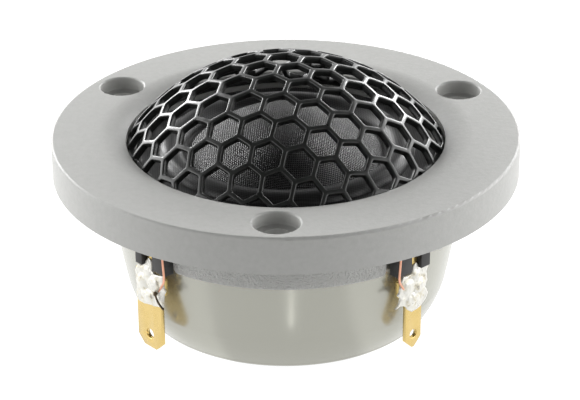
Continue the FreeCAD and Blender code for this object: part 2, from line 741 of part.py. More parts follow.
NODES = [
    "faceplate", "grille", "dome", "surround", "coil_former", "coil_winding", "diaphragm_ring",
    "terminal_wide", "terminal_narrow", "solder_wide", "solder_narrow", "lead_wire_wide",
    "lead_wire_narrow", "top_plate", "yoke", "copper_cap", "pole_pad", "rear_cup", "chamber_foam",
]
NODES += ["magnet_%d" % number for number in range(1, int(size("magnet_count")) + 1)]

for item in doc.Objects:
    if "Invalid" in item.State or "Error" in item.State:
        raise RuntimeError("%s did not build: %s" % (item.Name, item.State))
for node in NODES:
    shape = doc.getObjectsByLabel(node)[0].Shape
    if shape.isNull() or not shape.isValid() or shape.Volume <= 0:
        raise RuntimeError("%s has no valid solid" % node)
    shape.exportStep(os.path.join("parts", node + ".step"))
    print(node, len(shape.Solids), round(shape.Volume, 2))
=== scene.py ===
import json
import math

import bmesh
import bpy
from mathutils import Matrix, Vector, noise


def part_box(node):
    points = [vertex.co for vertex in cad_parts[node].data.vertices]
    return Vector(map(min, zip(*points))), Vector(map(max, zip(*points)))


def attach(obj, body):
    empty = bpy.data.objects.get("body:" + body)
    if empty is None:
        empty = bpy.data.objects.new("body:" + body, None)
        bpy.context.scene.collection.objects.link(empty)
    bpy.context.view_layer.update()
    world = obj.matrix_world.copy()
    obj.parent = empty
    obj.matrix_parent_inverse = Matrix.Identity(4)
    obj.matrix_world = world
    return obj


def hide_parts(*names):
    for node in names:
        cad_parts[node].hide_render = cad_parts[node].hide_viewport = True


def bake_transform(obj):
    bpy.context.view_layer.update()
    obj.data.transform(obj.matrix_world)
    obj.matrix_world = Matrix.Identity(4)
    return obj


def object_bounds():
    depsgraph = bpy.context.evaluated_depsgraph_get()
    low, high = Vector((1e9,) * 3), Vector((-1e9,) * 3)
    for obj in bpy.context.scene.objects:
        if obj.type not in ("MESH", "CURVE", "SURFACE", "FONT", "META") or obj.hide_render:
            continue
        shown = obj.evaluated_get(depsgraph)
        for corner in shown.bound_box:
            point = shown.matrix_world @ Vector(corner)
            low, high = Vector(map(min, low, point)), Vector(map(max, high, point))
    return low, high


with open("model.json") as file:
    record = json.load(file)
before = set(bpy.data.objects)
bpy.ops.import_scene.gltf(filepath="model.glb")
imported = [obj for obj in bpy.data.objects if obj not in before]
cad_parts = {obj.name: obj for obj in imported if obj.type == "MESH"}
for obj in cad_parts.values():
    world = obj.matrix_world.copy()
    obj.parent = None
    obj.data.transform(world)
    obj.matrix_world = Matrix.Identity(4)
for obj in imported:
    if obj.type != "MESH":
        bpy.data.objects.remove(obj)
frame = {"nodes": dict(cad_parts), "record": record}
cad_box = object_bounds()

# Lengths below are millimetres in the part's frame. MM turns them into Blender's metres.
MM = 0.001
FLOOR_Z = cad_box[0].z

# Azimuths, in degrees, of the front screw hole and of the two terminals either side of it.
FRONT_AZIMUTH = -90.0
WIDE_AZIMUTH = -135.0
NARROW_AZIMUTH = -45.0


# ---------------------------------------------------------------- materials

class Shader:
    """A principled material that is built up node by node."""

    def __init__(self, name):
        self.material = bpy.data.materials.new(name)
        self.material.use_nodes = True
        self.nodes = self.material.node_tree.nodes
        self.links = self.material.node_tree.links
        self.surface = self.nodes["Principled BSDF"]
        self.place = self.nodes.new("ShaderNodeTexCoord").outputs["Object"]

    def set(self, **values):
        for name, value in values.items():
            self.surface.inputs[name.replace("_", " ")].default_value = value
        return self

    def link(self, source, socket):
        self.links.new(source, self.surface.inputs[socket])
        return self

    def noise(self, grain_mm, detail=3.0, roughness=0.55, stretch=(1, 1, 1)):
        """Noise whose grains are about grain_mm across."""
        spread = self.nodes.new("ShaderNodeMapping")
        spread.inputs["Scale"].default_value = stretch
        self.links.new(self.place, spread.inputs["Vector"])
        texture = self.nodes.new("ShaderNodeTexNoise")
        texture.inputs["Scale"].default_value = 1.0 / (grain_mm * MM)
        texture.inputs["Detail"].default_value = detail
        texture.inputs["Roughness"].default_value = roughness
        self.links.new(spread.outputs["Vector"], texture.inputs["Vector"])
        return texture.outputs["Fac"]

    def cells(self, grain_mm):
        texture = self.nodes.new("ShaderNodeTexVoronoi")
        texture.inputs["Scale"].default_value = 1.0 / (grain_mm * MM)
        self.links.new(self.place, texture.inputs["Vector"])
        return texture.outputs["Distance"]

    def maths(self, operation, first, second=None, third=None):
        node = self.nodes.new("ShaderNodeMath")
        node.operation = operation
        for socket, value in zip(node.inputs, (first, second, third)):
            if value is None:
                continue
            if isinstance(value, (int, float)):
                socket.default_value = value
            else:
                self.links.new(value, socket)
        return node.outputs[0]

    def axis(self, letter, turn_deg=0.0):
        """One coordinate of the part's frame, after turning the frame about Z."""
        turned = self.nodes.new("ShaderNodeMapping")
        turned.inputs["Rotation"].default_value = (0, 0, math.radians(turn_deg))
        self.links.new(self.place, turned.inputs["Vector"])
        split = self.nodes.new("ShaderNodeSeparateXYZ")
        self.links.new(turned.outputs["Vector"], split.inputs[0])
        return split.outputs[letter]

    def ramp(self, value, *stops):
        """A colour or grey ramp. Stops are (position, grey or colour)."""
        node = self.nodes.new("ShaderNodeValToRGB")
        points = node.color_ramp.elements
        while len(points) < len(stops):
            points.new(0.5)
        for point, (position, colour) in zip(points, stops):
            point.position = position
            point.color = (colour,) * 3 + (1,) if isinstance(colour, float) else tuple(colour) + (1,)
        self.links.new(value, node.inputs["Fac"])
        return node.outputs["Color"]

    def bump(self, height, depth_mm, strength=1.0, before=None):
        node = self.nodes.new("ShaderNodeBump")
        node.inputs["Distance"].default_value = depth_mm * MM
        node.inputs["Strength"].default_value = strength
        self.links.new(height, node.inputs["Height"])
        if before is not None:
            self.links.new(before, node.inputs["Normal"])
        return node.outputs["Normal"]


# The skirt's coarse grain sets in over this much height below the flange's rear face.
SKIRT_GRAIN_RISE = 1.5 * MM


def cast_paint():
    """Fine-grained light grey paint, over a coarse cast grain that shows on the skirt."""
    s = Shader("cast_paint").set(Metallic=0.0, Specular_IOR_Level=0.4)
    fine = s.noise(0.20, 2.0, 0.6)
    wavy = s.noise(0.75, 3.0, 0.6)
    coarse = s.noise(0.26, 2.0, 0.5)
    depth = s.maths("MULTIPLY_ADD", s.axis("Z"), -1.0 / SKIRT_GRAIN_RISE, 0.0)
    on_skirt = s.ramp(depth, (0.0, 0.0), (1.0, 1.0))
    grain = s.maths("MULTIPLY", coarse, on_skirt)
    s.link(s.ramp(wavy, (0.3, (0.370, 0.371, 0.358)), (0.7, (0.400, 0.401, 0.388))), "Base Color")
    s.link(s.ramp(fine, (0.25, 0.40), (0.75, 0.55)), "Roughness")
    paint = s.bump(wavy, 0.05, 0.6, s.bump(fine, 0.02, 0.6))
    s.link(s.bump(grain, 0.30, 1.0, paint), "Normal")
    return s.material


def grille_black():
    """Semi-gloss black paint on the mesh, with slight unevenness."""
    s = Shader("grille_black").set(Specular_IOR_Level=0.45, Coat_Weight=0.12, Coat_Roughness=0.2)
    patchy = s.noise(1.6, 3.0)
    s.link(s.ramp(patchy, (0.3, (0.008, 0.009, 0.008)), (0.7, (0.016, 0.017, 0.016))), "Base Color")
    s.link(s.ramp(patchy, (0.3, 0.26), (0.7, 0.40)), "Roughness")
    s.link(s.bump(s.noise(0.12), 0.006, 0.4), "Normal")
    return s.material


# How far the dome's cloth is turned about the axis, and how far one thread is from the next.
WEAVE_TURN_DEG = 38.0
DOME_THREAD = 0.34
SURROUND_THREAD = 0.42


def woven(name, thread_mm, shaded_tones, shine, roughness, depth_mm, coat):
    """Plain woven cloth under a black damping coat: thread crowns in a square lattice. The tones and
    shine are each for the gaps and for the crowns; the tones' darker gaps are painted shade and their
    paler crowns a painted highlight."""
    s = Shader(name).set(Coat_Weight=coat, Coat_Roughness=0.3)
    turns = 2 * math.pi / (thread_mm * MM)
    across = s.maths("SINE", s.maths("MULTIPLY", s.axis("X", WEAVE_TURN_DEG), turns))
    along = s.maths("SINE", s.maths("MULTIPLY", s.axis("Y", WEAVE_TURN_DEG), turns))
    crowns = s.maths("MULTIPLY_ADD", s.maths("MULTIPLY", across, along), 0.5, 0.5)
    smear = s.noise(2.4, 2.0)
    dark, pale = shaded_tones
    # Painted shade in the gaps between threads and painted highlight on the crowns, as base colour.
    painted_weave_shade = s.ramp(crowns, (0.15, (dark, dark, dark * 1.03)), (0.9, (pale, pale, pale * 1.03)))
    s.link(painted_weave_shade, "Base Color")
    s.link(s.ramp(crowns, (0.25, shine[0]), (0.8, shine[1])), "Specular IOR Level")
    s.link(s.ramp(s.maths("MULTIPLY_ADD", smear, 0.4, s.maths("MULTIPLY", crowns, 0.6)),
                  (0.2, roughness + 0.14), (0.8, roughness - 0.06)), "Roughness")
    s.link(s.bump(crowns, depth_mm, 1.0), "Normal")
    return s.material


def moulded_black():
    """Satin black plastic with a blotchy, slightly greyed surface."""
    s = Shader("black_plastic").set(Specular_IOR_Level=0.4)
    fine = s.noise(0.5, 3.0)
    s.link(s.ramp(fine, (0.3, (0.012, 0.012, 0.012)), (0.7, (0.040, 0.039, 0.038))), "Base Color")
    s.link(s.ramp(fine, (0.3, 0.42), (0.7, 0.62)), "Roughness")
    s.link(s.bump(fine, 0.02, 0.5), "Normal")
    return s.material


def metal(name, dark, pale, roughness, grain_mm=0.8, stretch=(1, 1, 1), depth_mm=0.004):
    """Metal with slow changes of tone and fine surface marks."""
    s = Shader(name).set(Metallic=1.0)
    slow = s.noise(grain_mm, 3.0, 0.5, stretch)
    s.link(s.ramp(slow, (0.3, dark), (0.7, pale)), "Base Color")
    s.link(s.ramp(slow, (0.3, roughness * 0.8), (0.7, roughness * 1.3)), "Roughness")
    s.link(s.bump(s.noise(grain_mm * 0.3, 2.0, 0.5, stretch), depth_mm, 0.5), "Normal")
    return s.material


def cup_plate():
    """Satin plating of a warm grey, bright enough to mirror the terminals beside it softly."""
    s = Shader("cup_plate").set(Metallic=0.75, Roughness=0.24)
    fine = s.noise(0.12, 2.0, 0.6)
    s.link(s.ramp(fine, (0.3, (0.380, 0.380, 0.334)), (0.7, (0.408, 0.408, 0.360))), "Base Color")
    s.link(s.bump(s.noise(5.0, 1.0), 0.02, 0.4), "Normal")
    return s.material


def solder_metal():
    """Frosty solder with yellowish flux in its hollows."""
    s = Shader("solder").set(Metallic=0.35, Specular_IOR_Level=0.9)
    lumps = s.noise(0.9, 4.0, 0.6)
    s.link(s.ramp(lumps, (0.30, (0.30, 0.28, 0.25)), (0.38, (0.62, 0.58, 0.46)),
                  (0.48, (0.68, 0.67, 0.62))), "Base Color")
    s.link(s.ramp(lumps, (0.3, 0.48), (0.7, 0.24)), "Roughness")
    s.link(s.bump(s.noise(0.45, 3.0), 0.06, 0.8), "Normal")
    return s.material


def porous(name, tone, cell_mm):
    """Open-cell foam or felt, darker towards the middle of each pore: painted shade."""
    s = Shader(name).set(Roughness=0.95, Sheen_Weight=0.2)
    pores = s.cells(cell_mm)
    # Base colour darker where the pores sink in: painted shade in the pores.
    s.link(s.ramp(pores, (0.1, (tone * 0.4,) * 3), (0.7, (tone, tone, tone * 1.05))), "Base Color")
    s.link(s.bump(pores, cell_mm * 0.5, 1.0), "Normal")
    return s.material


MATERIALS = {
    "cast_paint": cast_paint(),
    "grille_black": grille_black(),
    "dome_cloth": woven("dome_cloth", DOME_THREAD, (0.002, 0.010), (0.02, 1.0), 0.29, 0.055, 0.0),
    "surround_cloth": woven("surround_cloth", SURROUND_THREAD, (0.006, 0.011), (0.35, 0.50), 0.38, 0.01,
                            0.12),
    "former_alloy": metal("former_alloy", (0.68, 0.68, 0.69), (0.78, 0.78, 0.79), 0.25),
    "coil_wire": metal("coil_wire", (0.50, 0.20, 0.10), (0.66, 0.30, 0.15), 0.25),
    "black_plastic": moulded_black(),
    "gold_plate": metal("gold_plate", (0.63, 0.47, 0.18), (0.69, 0.52, 0.21), 0.26, 1.5),
    "solder": solder_metal(),
    "lead_copper": metal("lead_copper", (0.74, 0.36, 0.24), (0.84, 0.46, 0.32), 0.32, 0.6),
    "zinc_steel": metal("zinc_steel", (0.48, 0.49, 0.50), (0.60, 0.61, 0.63), 0.34, 1.2),
    "bare_copper": metal("bare_copper", (0.72, 0.34, 0.22), (0.84, 0.44, 0.30), 0.28),
    "felt": porous("felt", 0.06, 0.35),
    "cup_lacquer": cup_plate(),
    "foam": porous("foam", 0.05, 0.8),
    "magnet_nickel": metal("magnet_nickel", (0.58, 0.57, 0.54), (0.68, 0.67, 0.64), 0.2),
}
BURNT_FLUX = metal("burnt_flux", (0.06, 0.045, 0.03), (0.20, 0.16, 0.11), 0.4, 0.5)
SLOT_OF = {entry["node"]: entry["material_slot"] for entry in frame["record"]["subparts"]}


# ---------------------------------------------------------------- mesh helpers

def finish_piece(name, mesh, slot, nodes=(), body="frame", auto_smooth_deg=35.0, material=None):
    """Turn a mesh in the part's frame into a piece that stands for CAD nodes."""
    mesh.materials.clear()
    mesh.materials.append(material or MATERIALS[slot])
    mesh.shade_smooth()
    mesh.set_sharp_from_angle(angle=math.radians(auto_smooth_deg))
    piece = bpy.data.objects.new(name, mesh)
    bpy.context.scene.collection.objects.link(piece)
    if body is not None:
        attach(piece, body)
    if nodes:
        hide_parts(*nodes)
    return piece


def mesh_from(name, points, faces):
    """A mesh from points in millimetres."""
    mesh = bpy.data.meshes.new(name)
    mesh.from_pydata([Vector(p) * MM for p in points], [], faces)
    mesh.validate()
    mesh.update()
    return mesh


def lathe(profile, turns=128, start_deg=0.0, sweep_deg=360.0):
    """Points and faces of a closed (radius, height) outline turned about Z."""
    whole = abs(sweep_deg - 360.0) < 1e-9
    stations = turns if whole else turns + 1
    points, faces, count = [], [], len(profile)
    for k in range(stations):
        turn = math.radians(start_deg + sweep_deg * k / turns)
        points += [(r * math.cos(turn), r * math.sin(turn), z) for r, z in profile]
    for k in range(turns):
        here, there = k * count, (k + 1) % stations * count
        for i in range(count):
            j = (i + 1) % count
            faces.append((here + i, there + i, there + j, here + j))
    if not whole:
        faces.append(tuple(range(count)))
        faces.append(tuple(range(turns * count + count - 1, turns * count - 1, -1)))
    return points, faces


def tidy(mesh, merge_mm=0.001):
    """Weld a mesh's doubled points and turn its faces outwards."""
    work = bmesh.new()
    work.from_mesh(mesh)
    bmesh.ops.remove_doubles(work, verts=work.verts, dist=merge_mm * MM)
    bmesh.ops.dissolve_degenerate(work, edges=work.edges, dist=merge_mm * MM)
    bmesh.ops.recalc_face_normals(work, faces=work.faces)
    work.to_mesh(mesh)
    work.free()
    return mesh


# Edges sharper than this, in degrees, are rounded on the softened pieces.
SHARP_EDGE_DEG = 35


def softened(node, name, width_mm):
    """A copy of a CAD node's mesh with its sharp edges rounded, standing for that node."""
    mesh = frame["nodes"][node].data.copy()
    work = bmesh.new()
    work.from_mesh(mesh)
    bmesh.ops.remove_doubles(work, verts=work.verts, dist=0.0005 * MM)
    bmesh.ops.dissolve_limit(work, angle_limit=math.radians(0.4), verts=work.verts, edges=work.edges)
    sharp = [edge for edge in work.edges if len(edge.link_faces) == 2
             and edge.calc_face_angle() > math.radians(SHARP_EDGE_DEG)]
    bmesh.ops.bevel(work, geom=sharp, offset=width_mm * MM, offset_type="OFFSET", segments=2,
                    profile=0.5, affect="EDGES", clamp_overlap=True)
    bmesh.ops.recalc_face_normals(work, faces=work.faces)
    work.to_mesh(mesh)
    work.free()
    finish_piece(name, mesh, SLOT_OF[node], (node,))


def span_mm(node):
    """Lowest and highest corner of a CAD node, in millimetres."""
    low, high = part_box(node)
    return Vector(low) / MM, Vector(high) / MM


# ---------------------------------------------------------------- grille

GRILLE_LOW, GRILLE_HIGH = span_mm("grille")
# The sheet's sphere, how far its centre is below the part's origin, and the sheet's thickness.
SPHERE_OUTER = 26.0
SPHERE_DROP = SPHERE_OUTER - GRILLE_HIGH.z
SHEET = 0.9
SHEET_MIDDLE = SPHERE_OUTER - SHEET / 2
# Where the sheet bends down into its upright rim, and the width of the rim that has no holes.
BEND_START = 20.25
BEND_ROUND = 1.5
RIM_WIDTH = 0.5
# The lattice of hexagonal holes. A cell further out than OUTERMOST_HOLE isn't pierced.
CELL_PITCH = 4.47
CELL_BAR = 0.66
CELL_TURN = math.radians(49.1)
CELL_SHIFT = (-0.3, 2.4)
OUTERMOST_HOLE = 25.65
# Rounding of the bars' outer and inner edges and of the holes' corners.
BAR_ROUND = 0.17
BAR_ROUND_STEPS = 4
INNER_EDGE_ROUND = 0.08
HOLE_CORNER = 0.45
# Share of a cell's side, at each end, whose points belong to the corner, and numbers of steps.
CORNER_REACH = 0.30
CORNER_STEPS = 4
SIDE_STEPS = 4
# A cell that isn't pierced is skinned in rings of these sizes.
BLANK_RINGS = (1.0, 0.85, 0.7, 0.55, 0.4, 0.2, 0.0)


def along_side(ring, stop):
    """Add evenly spaced points from the ring's last point up to, but not at, stop."""
    start = ring[-1]
    ring += [start.lerp(stop, n / SIDE_STEPS) for n in range(1, SIDE_STEPS)]


def hexagon(corner_reach):
    """Corners of a cell, laid out flat about its middle."""
    angles = [CELL_TURN + math.radians(30 + 60 * k) for k in range(6)]
    return [Vector((corner_reach * math.cos(a), corner_reach * math.sin(a))) for a in angles]


def boundary_ring():
    """Points round the line a cell shares with its neighbours, grouped round each corner."""
    corners = hexagon(CELL_PITCH / math.sqrt(3))
    half = CORNER_STEPS // 2
    ring = []
    for k, here in enumerate(corners):
        before, after = corners[k - 1], corners[(k + 1) % 6]
        ring += [here.lerp(before, CORNER_REACH * n / half) for n in range(half, 0, -1)]
        ring += [here.lerp(after, CORNER_REACH * n / half) for n in range(half + 1)]
        along_side(ring, after.lerp(here, CORNER_REACH))
    return ring


def hole_ring(widening):
    """Points round a hole with rounded corners, one for each boundary point."""
    corners = hexagon((CELL_PITCH - CELL_BAR + 2 * widening) / math.sqrt(3))
    arcs = []
    for corner in corners:
        centre = corner - corner.normalized() * (HOLE_CORNER / math.cos(math.radians(30)))
        middle = math.atan2(corner.y, corner.x)
        turns = [middle + math.radians(60 * (n / CORNER_STEPS - 0.5)) for n in range(CORNER_STEPS + 1)]
        arcs.append([centre + Vector((math.cos(t), math.sin(t))) * HOLE_CORNER for t in turns])
    ring = []
    for k, arc in enumerate(arcs):
        ring += arc
        along_side(ring, arcs[(k + 1) % 6][0])
    return ring


BEND_ANGLE = math.asin(BEND_START / SHEET_MIDDLE)
BEND_HUB = Vector((math.sin(BEND_ANGLE), math.cos(BEND_ANGLE))) * (SHEET_MIDDLE - BEND_ROUND)
RIM_MIDDLE = BEND_HUB.x + BEND_ROUND


def sheet_distance(angle, lift):
    """How far the sheet is from its sphere's centre in a direction, lifted off its middle. It is
    spherical, then bends down into the upright rim."""
    if angle <= BEND_ANGLE:
        return SHEET_MIDDLE + lift
    along = BEND_HUB.x * math.sin(angle) + BEND_HUB.y * math.cos(angle)
    aside = BEND_HUB.x * math.cos(angle) - BEND_HUB.y * math.sin(angle)
    distance = along + math.sqrt(max((BEND_ROUND + lift) ** 2 - aside ** 2, 0.0))
    if distance * math.cos(angle) >= BEND_HUB.y:
        return distance
    return (RIM_MIDDLE + lift) / math.sin(angle)


def on_sheet(x, y, lift):
    """A point laid out flat, wrapped onto the domed sheet and lifted off its middle."""
    reach = math.hypot(x, y)
    angle = reach / SHEET_MIDDLE
    distance = sheet_distance(angle, lift)
    if reach < 1e-9:
        return (0.0, 0.0, distance - SPHERE_DROP)
    scale = distance * math.sin(angle) / reach
    return (x * scale, y * scale, distance * math.cos(angle) - SPHERE_DROP)


def reach_at(height, lift):
    """Laid-out distance from the middle at which the lifted rim is at a height."""
    return SHEET_MIDDLE * math.atan2(RIM_MIDDLE + lift, height + SPHERE_DROP)


def hole_levels():
    """Rings from the outer face's cell boundary, over the rounded edge, through the hole and out
    to the inner face's boundary. Each is (ring, lift, furthest laid-out distance)."""
    half, foot, hole_foot = SHEET / 2, GRILLE_LOW.z, GRILLE_LOW.z + RIM_WIDTH
    outline = boundary_ring()
    levels = [(outline, half, reach_at(foot, half))]
    for step in range(BAR_ROUND_STEPS + 1):
        turn = math.radians(90 - 90 / BAR_ROUND_STEPS * step)
        widening = BAR_ROUND * (1 - math.cos(turn))
        lift = half - BAR_ROUND * (1 - math.sin(turn))
        levels.append((hole_ring(widening), lift, reach_at(hole_foot - widening, lift)))
    low = INNER_EDGE_ROUND - half
    levels.append((hole_ring(0.0), low, reach_at(hole_foot, low)))
    levels.append((hole_ring(INNER_EDGE_ROUND), -half, reach_at(hole_foot - INNER_EDGE_ROUND, -half)))
    levels.append((outline, -half, reach_at(foot, -half)))
    return levels


def blank_levels():
    """Rings of a cell that isn't pierced, from its boundary to its middle on each face."""
    half, foot = SHEET / 2, GRILLE_LOW.z
    outline = boundary_ring()
    outer = [([spot * k for spot in outline], half, reach_at(foot, half)) for k in BLANK_RINGS]
    inner = [([spot * k for spot in outline], -half, reach_at(foot, -half))
             for k in reversed(BLANK_RINGS)]
    return outer, inner


def build_grille():
    """Stamped hexagonal mesh with rounded bar edges, bent down into a narrow rim."""
    points, faces = [], []

    def add_rings(x, y, levels):
        """Put one cell's rings on the sheet and skin them. Returns each ring's first point and
        which of its points were drawn in to the rim's edge."""
        starts = []
        for ring, lift, limit in levels:
            drawn_in = []
            starts.append((len(points), drawn_in))
            for spot in ring:
                px, py = x + spot.x, y + spot.y
                distance = math.hypot(px, py)
                drawn_in.append(distance > limit)
                if distance > limit:
                    px, py = px * limit / distance, py * limit / distance
                points.append(on_sheet(px, py, lift))
        count = len(levels[0][0])
        for (low, _), (high, _) in zip(starts, starts[1:]):
            for n in range(count):
                m = (n + 1) % count
                faces.append((low + n, low + m, high + m, high + n))
        return starts

    def close_rim(outer, inner):
        """Join the outer and inner faces along the rim's lower edge."""
        (high, drawn_in), (low, _) = outer, inner
        count = len(drawn_in)
        for n in range(count):
            m = (n + 1) % count
            if drawn_in[n] and drawn_in[m]:
                faces.append((high + n, high + m, low + m, low + n))

    pierced, blank = hole_levels(), blank_levels()
    rim_reach = reach_at(GRILLE_LOW.z, SHEET / 2)
    rows = int(rim_reach / CELL_PITCH) + 3
    corner = CELL_PITCH / math.sqrt(3)
    for i in range(-rows, rows + 1):
        for j in range(-rows, rows + 1):
            along = CELL_PITCH * (i + j / 2)
            across = CELL_PITCH * j * math.sqrt(3) / 2
            x = along * math.cos(CELL_TURN) - across * math.sin(CELL_TURN) + CELL_SHIFT[0]
            y = along * math.sin(CELL_TURN) + across * math.cos(CELL_TURN) + CELL_SHIFT[1]
            reach = math.hypot(x, y)
            if reach - corner > rim_reach:
                continue
            if reach < OUTERMOST_HOLE:
                starts = add_rings(x, y, pierced)
                close_rim(starts[0], starts[-1])
            else:
                outer = add_rings(x, y, blank[0])
                inner = add_rings(x, y, blank[1])
                close_rim(outer[0], inner[-1])
    mesh = tidy(mesh_from("grille_mesh", points, faces), 0.003)
    finish_piece("grille_mesh", mesh, "grille_black", ("grille",), "frame", 50.0)


# ---------------------------------------------------------------- diaphragm

def arc_profile(start, stop, radius, bulge, steps):
    """Points on an arc of one radius from start to stop, without the start. bulge is +1 or -1."""
    start, stop = Vector(start), Vector(stop)
    chord = stop - start
    normal = Vector((-chord.y, chord.x)).normalized() * bulge
    centre = (start + stop) / 2 - normal * math.sqrt(max(radius ** 2 - (chord.length / 2) ** 2, 0.0))
    first = math.atan2(start.y - centre.y, start.x - centre.x)
    last = math.atan2(stop.y - centre.y, stop.x - centre.x)
    sweep = (last - first + math.pi) % (2 * math.pi) - math.pi
    return [(centre.x + radius * math.cos(first + sweep * n / steps),
             centre.y + radius * math.sin(first + sweep * n / steps)) for n in range(1, steps + 1)]


DOME_CLOTH = 0.26
DOME_LIP = 0.02


def build_dome():
    """Pressed cloth dome, a thin shell that is cut level where it meets the coil."""
    low, high = span_mm("dome")
    base, reach, top = low.z, high.x, high.z
    rise = top - base
    radius = (reach ** 2 + rise ** 2) / (2 * rise)
    edge = (reach, base + DOME_LIP)
    outer = [edge] + arc_profile(edge, (0.0, top), radius, -1, 40)
    outer = [(max(r, 0.0), z) for r, z in outer]
    inner = [(max(r - DOME_CLOTH * (r / reach), 0.0), z - DOME_CLOTH * (1 - 0.5 * r / reach))
             for r, z in outer]
    profile = outer + [(r, max(z, base)) for r, z in reversed(inner)]
    points, faces = lathe(profile, 144)
    mesh = tidy(mesh_from("dome_cloth", points, faces))
    finish_piece("dome_cloth", mesh, "dome_cloth", ("dome",), "diaphragm", 60.0)


# The surround's cloth, its roll between the lip on the dome and the flat on the ring, and the
# heights of the lip's top, of the flat's top and of the ring's seat.
SURROUND_CLOTH = 0.3
ROLL_RADIUS = 1.95
LIP_INNER, LIP_RADIUS, FLAT_RADIUS = 12.82, 13.4, 17.2
LIP_TOP, FLAT_TOP, RING_SEAT = 1.9, 2.3, 2.0
ROLL_STEPS = 22
SECTORS = 24
SECTOR_STEPS = 8


def build_surround():
    """Rolled edge of the diaphragm, in sectors."""
    outer = span_mm("surround")[1].x
    roll_start = (LIP_RADIUS, LIP_TOP + 0.03)
    profile = [(LIP_INNER, LIP_TOP), (LIP_RADIUS - 0.25, LIP_TOP), roll_start]
    profile += arc_profile(roll_start, (FLAT_RADIUS, FLAT_TOP), ROLL_RADIUS + SURROUND_CLOTH / 4, 1,
                           ROLL_STEPS)
    profile += [(FLAT_RADIUS + 0.25, FLAT_TOP), (18.6, FLAT_TOP), (outer - 0.08, FLAT_TOP),
                (outer, FLAT_TOP - 0.06), (outer, RING_SEAT), (FLAT_RADIUS + 0.1, RING_SEAT)]
    profile += arc_profile((FLAT_RADIUS, RING_SEAT), (LIP_RADIUS, LIP_TOP - SURROUND_CLOTH), ROLL_RADIUS,
                           -1, ROLL_STEPS)
    profile += [(LIP_INNER, LIP_TOP - SURROUND_CLOTH)]
    for k in range(SECTORS):
        start = 360.0 * k / SECTORS
        points, faces = lathe(profile, SECTOR_STEPS, start, 360.0 / SECTORS)
        name = "surround_sector_%02d" % (k + 1)
        mesh = tidy(mesh_from(name, points, faces))
        piece = finish_piece(name, mesh, "surround_cloth", ("surround",), None, 60.0)
        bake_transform(piece)


COIL_INNER = 12.8
COIL_TURNS = 14


def build_coil():
    """Winding with the ridges of its turns, on its thin former."""
    low, high = span_mm("coil_winding")
    outer = high.x
    pitch = (high.z - low.z) / COIL_TURNS
    profile = [(COIL_INNER, low.z)]
    for k in range(COIL_TURNS):
        for n in range(5):
            angle = math.pi * n / 4
            profile.append((outer - pitch * 0.5 + math.sin(angle) * pitch * 0.5,
                            low.z + pitch * (k + 0.5) - math.cos(angle) * pitch * 0.5))
    profile.append((COIL_INNER, high.z))
    points, faces = lathe(profile, 96)
    mesh = tidy(mesh_from("coil_turns", points, faces))
    finish_piece("coil_turns", mesh, "coil_wire", ("coil_winding",), "diaphragm", 60.0)


# ---------------------------------------------------------------- terminals

def facing_matrix(azimuth_deg):
    """Turns a piece drawn at the front of the tweeter, facing -Y, to an azimuth."""
    return Matrix.Rotation(math.radians(azimuth_deg - FRONT_AZIMUTH), 4, "Z")


# How far the blades' and the blocks' outer faces are from the tweeter's axis.
BLADE_FACE = 24.2
BLOCK_FACE = 24.95
# The solder's flat skin, the size of the grid it is welded on, and how much its lumps stand out.
SKIN_DEPTH = 0.34
WELD_GRID = 0.11
LUMP_DEPTH = 0.13


def welded_skin(work, name, azimuth, seed):
    """Weld overlapping closed shapes into one skin, roughen it and turn it to its azimuth."""
    mesh = bpy.data.meshes.new(name)
    work.to_mesh(mesh)
    work.free()
    raw = bpy.data.objects.new(name + "_raw", mesh)
    bpy.context.scene.collection.objects.link(raw)
    weld = raw.modifiers.new("weld", "REMESH")
    weld.mode = "VOXEL"
    weld.voxel_size = WELD_GRID * MM
    smooth = raw.modifiers.new("smooth", "SMOOTH")
    smooth.factor = 0.5
    smooth.iterations = 3
    graph = bpy.context.evaluated_depsgraph_get()
    made = bpy.data.meshes.new_from_object(raw.evaluated_get(graph))
    bpy.data.objects.remove(raw)
    made.name = name
    shift = Vector((seed * 7.3, seed * 1.7, seed * 3.1))
    for vert in made.vertices:
        spot = vert.co / MM
        lump = noise.noise(spot * 1.3 + shift) * 0.7 + noise.noise(spot * 3.1 + shift) * 0.3
        vert.co += vert.normal * lump * LUMP_DEPTH * MM
        vert.co.y = min(vert.co.y, -BLADE_FACE * MM)
    made.transform(facing_matrix(azimuth))
    made.update()
    return made


def build_solder(name, node, azimuth, outline, drops, seed):
    """Ragged solder joint: a thin skin with a torn outline, and drops that stand on it. The
    outline and the drops are in (across, height) on the blade's outer face."""
    work = bmesh.new()
    corners = [work.verts.new(Vector((x, -BLADE_FACE + 0.05, z)) * MM) for x, z in outline]
    skin = work.faces.new(corners)
    grown = bmesh.ops.extrude_face_region(work, geom=[skin])
    moved = [item for item in grown["geom"] if isinstance(item, bmesh.types.BMVert)]
    bmesh.ops.translate(work, verts=moved, vec=Vector((0, -SKIN_DEPTH, 0)) * MM)
    bmesh.ops.recalc_face_normals(work, faces=work.faces)
    for across, level, reach_x, reach_z, stand_out in drops:
        ball = bmesh.ops.create_icosphere(work, subdivisions=3, radius=1.0)
        for vert in ball["verts"]:
            vert.co = Vector((vert.co.x * reach_x + across, vert.co.y * stand_out - BLADE_FACE,
                              vert.co.z * reach_z + level)) * MM
    finish_piece(name, welded_skin(work, name, azimuth, seed), "solder", (node,), "frame", 70.0)


